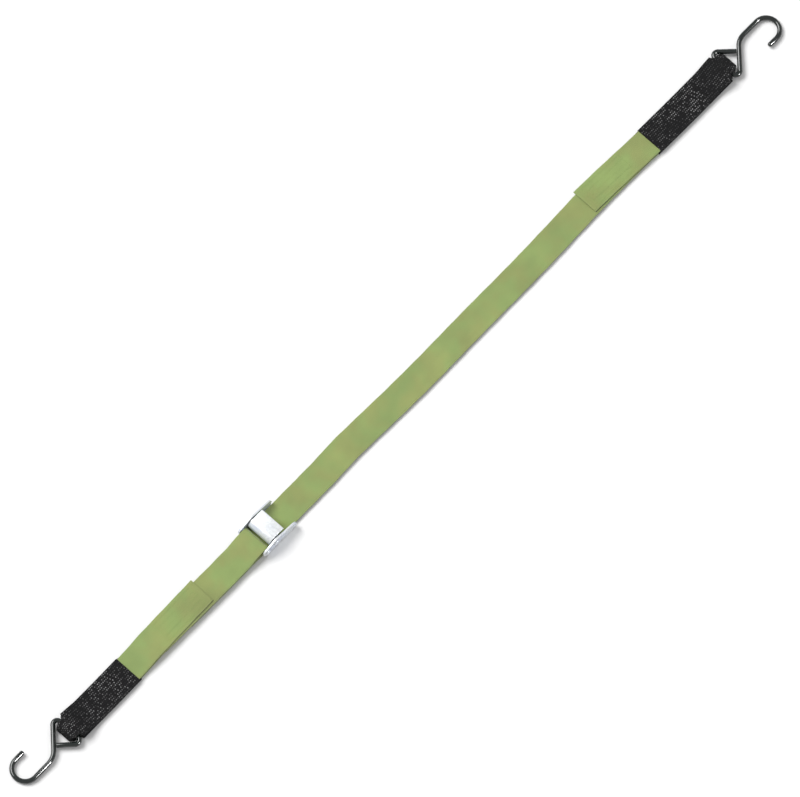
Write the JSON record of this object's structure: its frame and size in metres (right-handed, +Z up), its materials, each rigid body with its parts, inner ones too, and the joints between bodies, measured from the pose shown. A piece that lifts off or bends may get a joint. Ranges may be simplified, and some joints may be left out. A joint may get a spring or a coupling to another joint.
{
  "type": "cam buckle tie-down strap",
  "caption": "Webbing tie-down laid out straight, with a spring-loaded cam buckle, a short and a long strap, and a closed-eye wire hook in a sleeved loop at each end.",
  "frame": {"origin": "under the middle of the strap laid out straight, on the surface that it lies on", "axes": "+X along the strap towards the long strap's hook, +Y across it, +Z up"},
  "size_m": [1.381, 0.0506, 0.0226],
  "materials": {
    "green_webbing": "matt woven polyester, yellow-green",
    "green_thread": "sewing thread, the webbing's colour",
    "black_sleeve": "matt tubular weave, near black",
    "black_thread": "sewing thread, black",
    "coated_steel": "glossy dark grey coating on steel wire",
    "zinc_plate": "zinc-plated sheet steel, satin",
    "spring_steel": "bare spring wire"
  },
  "bodies": {
    "buckle": {"buckle_frame": "zinc_plate", "anchor_pin": "zinc_plate", "cam_pin": "zinc_plate", "cam_spring_left": "spring_steel", "cam_spring_right": "spring_steel"},
    "cam": {"cam_lever": "zinc_plate"},
    "short_end": {"short_strap": "green_webbing", "lower_sleeve": "black_sleeve", "lower_needle_thread": "green_thread", "lower_bobbin_thread": "green_thread", "lower_sleeve_tack": "black_thread"},
    "lower_hook": {"lower_hook": "coated_steel"},
    "long_end": {"long_strap": "green_webbing", "upper_sleeve": "black_sleeve", "upper_needle_thread": "green_thread", "upper_bobbin_thread": "green_thread", "upper_sleeve_tack": "black_thread"},
    "upper_hook": {"upper_hook": "coated_steel"}
  },
  "joints": [
    {"name": "cam_pivot", "type": "hinge", "parent": "buckle", "child": "cam", "pos_m": [-0.24604, 0, 0.0135], "axis": [0, 1, 0], "range_deg": [0, 42], "stiffness_Nm_per_rad": 0.4, "springref_deg": -28.65, "deforming": ["cam_spring_left", "cam_spring_right"]},
    {"name": "strap_slide", "type": "slide", "parent": "buckle", "child": "long_end", "axis": [1, 0, 0], "range_m": [-0.06, 0.12]},
    {"name": "short_strap_pivot", "type": "hinge", "parent": "buckle", "child": "short_end", "pos_m": [-0.26204, 0, 0.0099], "axis": [0, 1, 0], "range_deg": [0, 75]},
    {"name": "lower_hook_pivot", "type": "hinge", "parent": "short_end", "child": "lower_hook", "pos_m": [-0.59754, 0, 0.0073], "axis": [0, 1, 0], "range_deg": [-85, 85]},
    {"name": "upper_hook_pivot", "type": "hinge", "parent": "long_end", "child": "upper_hook", "pos_m": [0.59754, 0, 0.0073], "axis": [0, 1, 0], "range_deg": [-85, 85]}
  ]
}
